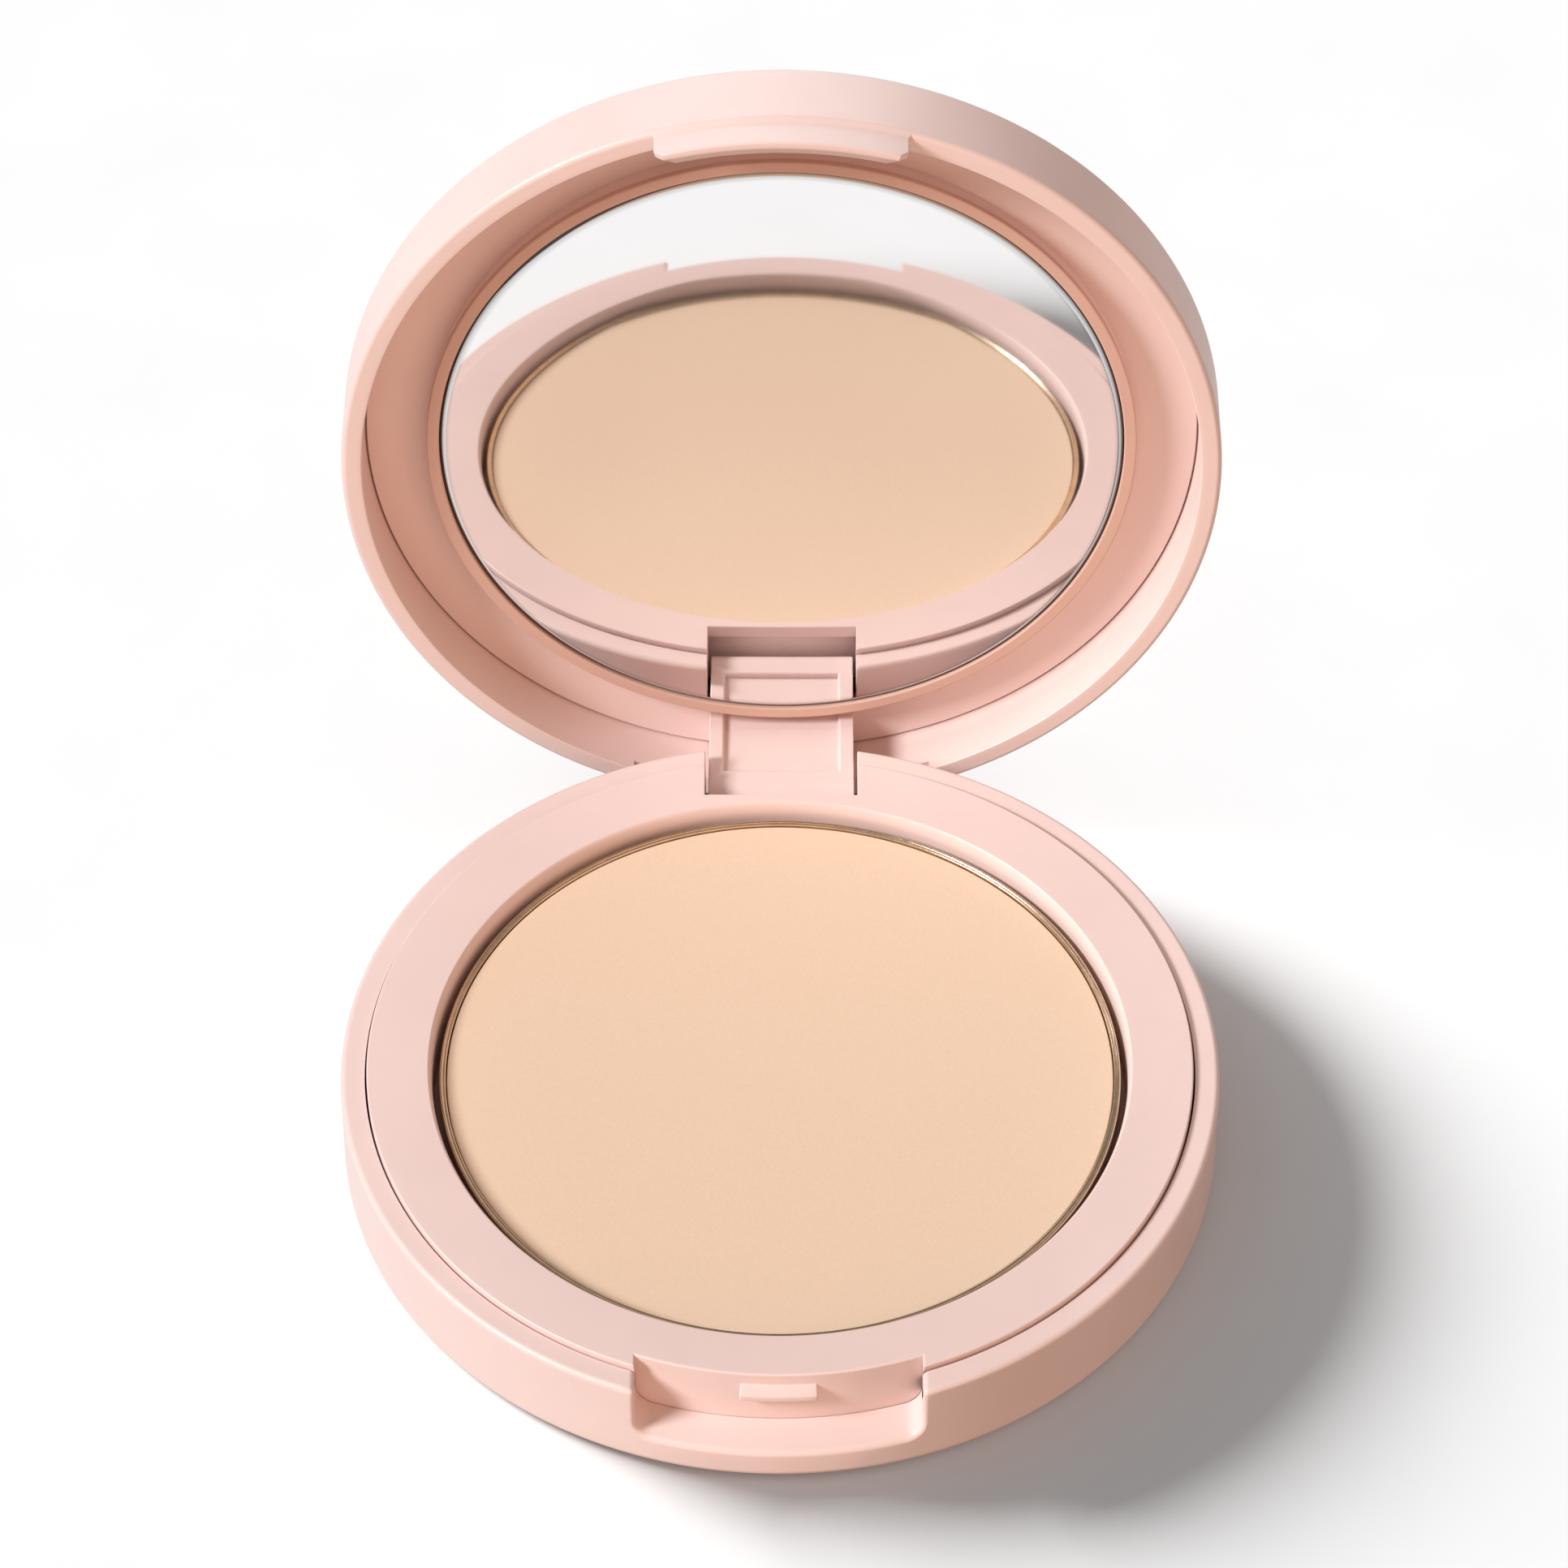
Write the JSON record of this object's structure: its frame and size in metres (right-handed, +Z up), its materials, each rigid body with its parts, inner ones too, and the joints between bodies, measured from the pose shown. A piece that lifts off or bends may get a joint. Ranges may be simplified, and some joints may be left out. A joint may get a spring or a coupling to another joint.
{
  "type": "powder compact",
  "caption": "Round hinged powder compact with a flat pressed-powder pan, a thumb notch with a snap catch and a mirror in the lid.",
  "frame": {"origin": "centre of the base's flat underside, on the axis of the round base", "axes": "+Z up, out of the open base; -Y to the front, where the thumb notch is; +Y to the hinge; +X to the right seen from the front"},
  "size_m": [0.077, 0.0911, 0.0773],
  "materials": {
    "pink_plastic": "satin blush-pink moulded plastic with a very fine grain",
    "tan_plastic": "matte tan",
    "champagne_metal": "bright champagne metal",
    "pressed_powder": "dead matte pressed powder",
    "mirror_glass": "clear polished glass silvered on its back",
    "silvering": "silver coat with grey backing paint",
    "adhesive": "soft off-white adhesive",
    "label_stock": "plain blank sticker",
    "pin_steel": "plain drawn steel"
  },
  "bodies": {
    "base": {"base_shell": "pink_plastic", "inner_tray": "pink_plastic", "powder_pan": "champagne_metal", "powder_cake": "pressed_powder", "pan_adhesive": "adhesive", "bottom_label": "label_stock", "hinge_pin": "pin_steel"},
    "lid": {"lid_shell": "pink_plastic", "lid_liner": "pink_plastic", "mirror_bezel": "tan_plastic", "mirror_glass": "mirror_glass", "mirror_backing": "silvering", "mirror_tape": "adhesive"}
  },
  "joints": [
    {"name": "lid_hinge", "type": "hinge", "parent": "base", "child": "lid", "pos_m": [0, 0.0345, 0.0051], "axis": [1, 0, 0], "range_deg": [0, 95.5]}
  ]
}
